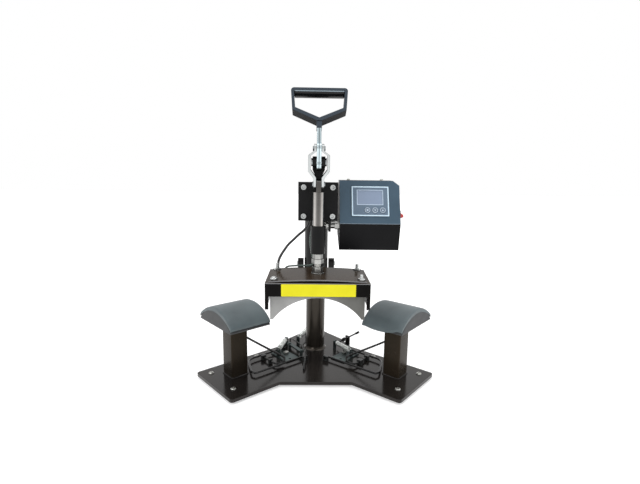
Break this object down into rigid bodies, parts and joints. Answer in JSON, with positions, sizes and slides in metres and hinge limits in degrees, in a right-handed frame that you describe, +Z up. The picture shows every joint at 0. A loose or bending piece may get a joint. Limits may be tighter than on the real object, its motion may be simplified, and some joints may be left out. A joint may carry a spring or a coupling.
{
  "type": "cap heat press",
  "caption": "Two-station cap heat press: V-shaped base, curved padded platens on posts, swing head with toggle clamp, arched heater and tilted control box.",
  "frame": {"origin": "middle of the overall box, at the underside of the feet", "axes": "+Z up, -Y towards the operator, +X to the operator's right"},
  "size_m": [0.4458, 0.3396, 0.5219],
  "materials": {
    "black_enamel": "gloss black enamel",
    "zinc": "bright zinc plate",
    "chrome": "polished chrome plate",
    "steel": "plain steel",
    "rubber": "matt",
    "pad": "silicone, satin",
    "platen": "dark baked coat",
    "aluminium": "bare cast",
    "brass": "sintered bearing metal",
    "black_wire": "black coated wire",
    "felt": "ceramic fibre",
    "mica": "mica sheet",
    "panel": "slate blue, satin",
    "bezel": "gloss",
    "display": "grey display",
    "key": "satin",
    "grip": "gloss black",
    "board": "board green",
    "relay": "moulded",
    "black_plastic": "moulded",
    "red": "red",
    "cable": "satin",
    "sensor_sleeve": "woven sleeve"
  },
  "bodies": {
    "base": {"base_plate": "black_enamel", "rubber_feet": "rubber", "plate_screws": "zinc", "pillar": "black_enamel", "stop_collar": "black_enamel", "stop_bolts": "zinc", "platen_posts": "black_enamel", "platen_bodies": "platen", "platen_pads": "pad", "platen_screws": "steel", "station_brackets": "zinc", "wire_clips": "black_enamel", "lever_upright": "black_enamel", "guard_wire": "black_wire", "station_springs": "steel"},
    "left_bail_arm": {"left_bail": "black_wire"},
    "right_bail_arm": {"right_bail": "black_wire"},
    "left_hook_arm": {"left_hook": "black_wire"},
    "right_hook_arm": {"right_hook": "black_wire"},
    "lever_arm": {"lever_wire": "black_wire"},
    "head": {"swing_sleeve": "black_enamel", "sleeve_bearings": "brass", "pillar_cap": "black_plastic", "head_arm": "black_enamel", "clamp_casting": "black_enamel", "casting_screws": "zinc", "guide_liner": "brass", "main_pin": "chrome", "control_box": "black_enamel", "control_panel": "panel", "panel_bezel": "bezel", "display_window": "display", "panel_screws": "zinc", "circuit_board": "board", "relay_block": "relay", "power_inlet": "black_plastic", "switch_housing": "black_plastic", "box_studs": "zinc", "cable_grommets": "rubber", "heater_cable": "cable", "sensor_wire": "sensor_sleeve"},
    "handle": {"lever_bar": "chrome", "handle_frame": "black_enamel", "handle_grip": "grip"},
    "links": {"toggle_links": "chrome", "link_pins": "chrome"},
    "plunger_group": {"plunger": "chrome", "adjusting_stud": "zinc", "adjusting_nuts": "zinc", "press_plate": "black_enamel", "heater_cover": "black_enamel", "cover_bolts": "zinc", "insulation_pad": "felt", "heating_element": "mica", "heater_block": "aluminium", "temperature_sensor": "steel"},
    "set_button": {"set_key": "key"},
    "down_button": {"down_key": "key"},
    "up_button": {"up_key": "key"},
    "rocker": {"power_rocker": "red"}
  },
  "joints": [
    {"name": "head_swing", "type": "hinge", "parent": "base", "child": "head", "pos_m": [0, 0.07375, 0.3], "axis": [0, 0, 1], "range_deg": [-50, 50]},
    {"name": "handle_turn", "type": "hinge", "parent": "head", "child": "handle", "pos_m": [0, -0.12225, 0.403], "axis": [1, 0, 0], "range_deg": [0, 165]},
    {"name": "link_turn", "type": "hinge", "parent": "handle", "child": "links", "pos_m": [0, -0.12787, 0.42396], "axis": [1, 0, 0], "range_deg": [-170.72, 0]},
    {"name": "plunger_slide", "type": "slide", "parent": "head", "child": "plunger_group", "axis": [0, 0, 1], "range_m": [-0.04294, 0], "deforming": ["heater_cable", "sensor_wire"]},
    {"name": "left_bail_lift", "type": "hinge", "parent": "base", "child": "left_bail_arm", "pos_m": [-0.0475, 0.0339, 0.016], "axis": [-0.6428, 0.766, 0], "range_deg": [0, 18]},
    {"name": "right_bail_lift", "type": "hinge", "parent": "base", "child": "right_bail_arm", "pos_m": [0.0475, 0.0339, 0.016], "axis": [-0.6428, -0.766, 0], "range_deg": [0, 18]},
    {"name": "left_hook_turn", "type": "hinge", "parent": "base", "child": "left_hook_arm", "pos_m": [-0.10142, 0.0017, 0.016], "axis": [-0.6428, 0.766, 0], "range_deg": [0, 8]},
    {"name": "right_hook_turn", "type": "hinge", "parent": "base", "child": "right_hook_arm", "pos_m": [0.10142, 0.0017, 0.016], "axis": [-0.6428, -0.766, 0], "range_deg": [0, 8]},
    {"name": "lever_wire_turn", "type": "hinge", "parent": "base", "child": "lever_arm", "pos_m": [0.06198, 0.05894, 0.032], "axis": [-0.6428, -0.766, 0], "range_deg": [0, 15]},
    {"name": "set_key_push", "type": "slide", "parent": "head", "child": "set_button", "axis": [0, 0.9238, -0.3828], "range_m": [0, 0.0005], "stiffness_N_per_m": 300},
    {"name": "down_key_push", "type": "slide", "parent": "head", "child": "down_button", "axis": [0, 0.9238, -0.3828], "range_m": [0, 0.0005], "stiffness_N_per_m": 300},
    {"name": "up_key_push", "type": "slide", "parent": "head", "child": "up_button", "axis": [0, 0.9238, -0.3828], "range_m": [0, 0.0005], "stiffness_N_per_m": 300},
    {"name": "rocker_tip", "type": "hinge", "parent": "head", "child": "rocker", "pos_m": [0.1395, -0.07425, 0.315], "axis": [0, 1, 0], "range_deg": [0, 18]}
  ],
  "couplings": [
    {"joint": "plunger_slide", "follows": "handle_turn", "m_per_rad": -0.014911},
    {"joint": "link_turn", "follows": "handle_turn", "ratio": -1.0347}
  ]
}
